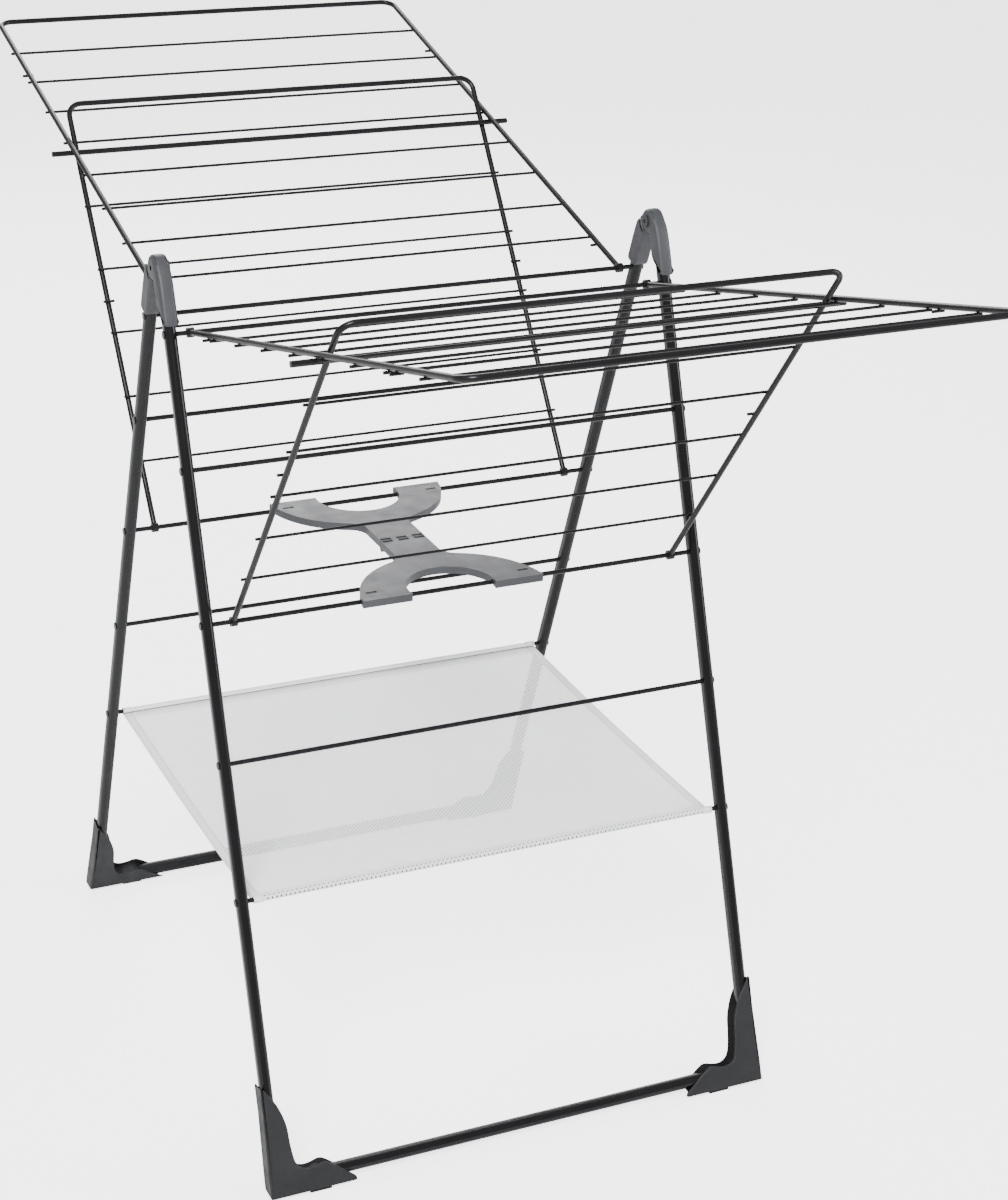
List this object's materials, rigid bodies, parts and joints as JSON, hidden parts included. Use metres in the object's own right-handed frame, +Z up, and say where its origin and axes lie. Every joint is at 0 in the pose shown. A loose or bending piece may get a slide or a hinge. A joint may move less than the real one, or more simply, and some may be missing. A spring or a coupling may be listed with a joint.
{
  "type": "folding clothes airer",
  "caption": "Free-standing A-frame clothes airer with two winged racks of wires, two propping side panels, a folding mid spreader and a low mesh shelf; it all folds flat.",
  "frame": {"origin": "centre of the footprint on the floor plane", "axes": "+X along the cross rods, +Y towards the rear wing, +Z up"},
  "size_m": [0.561, 1.3808, 0.9763],
  "materials": {
    "frame_front": "gloss",
    "frame_rear": "satin",
    "bars": "satin",
    "cap": "satin",
    "foot": "matte",
    "pad": "matte",
    "pin": "satin",
    "spreader": "satin",
    "mesh": "woven mesh"
  },
  "bodies": {
    "front_frame": {"front_leg_left": "frame_front", "front_foot_left": "foot", "front_pad_left": "pad", "front_cap_left": "cap", "front_leg_right": "frame_front", "front_foot_right": "foot", "front_pad_right": "pad", "front_cap_right": "cap", "front_base_tube": "frame_front", "front_wing_rod": "bars", "front_upper_rod": "bars", "front_panel_rod": "bars", "front_stretcher_rod": "bars", "front_shelf_rod": "bars", "hinge_pin_left": "pin", "hinge_pin_right": "pin"},
    "front_wing": {"front_wing_rail": "bars", "front_wing_wires": "bars", "front_wing_nibs": "bars"},
    "front_panel": {"front_panel_rail": "bars", "front_panel_wires": "bars", "front_panel_nibs": "bars", "front_prop_rod": "bars"},
    "rear_frame": {"rear_leg_left": "frame_rear", "rear_foot_left": "foot", "rear_pad_left": "pad", "rear_cap_left": "cap", "rear_leg_right": "frame_rear", "rear_foot_right": "foot", "rear_pad_right": "pad", "rear_cap_right": "cap", "rear_base_tube": "frame_rear", "rear_wing_rod": "bars", "rear_upper_rod": "bars", "rear_panel_rod": "bars", "rear_stretcher_rod": "bars", "rear_shelf_rod": "bars"},
    "rear_wing": {"rear_wing_rail": "bars", "rear_wing_wires": "bars", "rear_wing_nibs": "bars"},
    "rear_panel": {"rear_panel_rail": "bars", "rear_panel_wires": "bars", "rear_panel_nibs": "bars", "rear_prop_rod": "bars"},
    "spreader_front": {"spreader_front_half": "spreader", "spreader_pin": "pin"},
    "spreader_rear": {"spreader_rear_half": "spreader"},
    "shelf_front": {"shelf_front_half": "mesh"},
    "shelf_rear": {"shelf_rear_half": "mesh"}
  },
  "joints": [
    {"name": "fold", "type": "hinge", "parent": "front_frame", "child": "rear_frame", "pos_m": [0, 0, 0.86844], "axis": [1, 0, 0], "range_deg": [-39.4, 0]},
    {"name": "front_wing_turn", "type": "hinge", "parent": "front_frame", "child": "front_wing", "pos_m": [0, -0.03244, 0.81002], "axis": [-1, 0, 0], "range_deg": [-80, 0]},
    {"name": "front_panel_turn", "type": "hinge", "parent": "front_frame", "child": "front_panel", "pos_m": [0, -0.12992, 0.5422], "axis": [-1, 0, 0], "range_deg": [-120.79, 0]},
    {"name": "rear_wing_turn", "type": "hinge", "parent": "rear_frame", "child": "rear_wing", "pos_m": [0, 0.03244, 0.81002], "axis": [1, 0, 0], "range_deg": [-80, 0]},
    {"name": "rear_panel_turn", "type": "hinge", "parent": "rear_frame", "child": "rear_panel", "pos_m": [0, 0.12992, 0.5422], "axis": [1, 0, 0], "range_deg": [-120.79, 0]},
    {"name": "spreader_front_turn", "type": "hinge", "parent": "front_frame", "child": "spreader_front", "pos_m": [0, -0.12992, 0.5422], "axis": [1, 0, 0], "range_deg": [0, 66.63]},
    {"name": "spreader_middle_turn", "type": "hinge", "parent": "spreader_front", "child": "spreader_rear", "pos_m": [0, 0, 0.5382], "axis": [1, 0, 0], "range_deg": [-172.64, 0]},
    {"name": "shelf_front_turn", "type": "hinge", "parent": "front_frame", "child": "shelf_front", "pos_m": [0, -0.22465, 0.28191], "axis": [1, 0, 0], "range_deg": [-106.19, 0]},
    {"name": "shelf_middle_turn", "type": "hinge", "parent": "shelf_front", "child": "shelf_rear", "pos_m": [0, 0, 0.28191], "axis": [1, 0, 0], "range_deg": [0, 172.97]}
  ],
  "couplings": [
    {"joint": "front_panel_turn", "follows": "front_wing_turn", "ratio": 1.5097},
    {"joint": "rear_panel_turn", "follows": "rear_wing_turn", "ratio": 1.5097},
    {"joint": "spreader_front_turn", "follows": "fold", "ratio": -1.6908},
    {"joint": "spreader_middle_turn", "follows": "fold", "ratio": 4.3816},
    {"joint": "shelf_front_turn", "follows": "fold", "ratio": 2.695},
    {"joint": "shelf_middle_turn", "follows": "fold", "ratio": -4.3899}
  ]
}
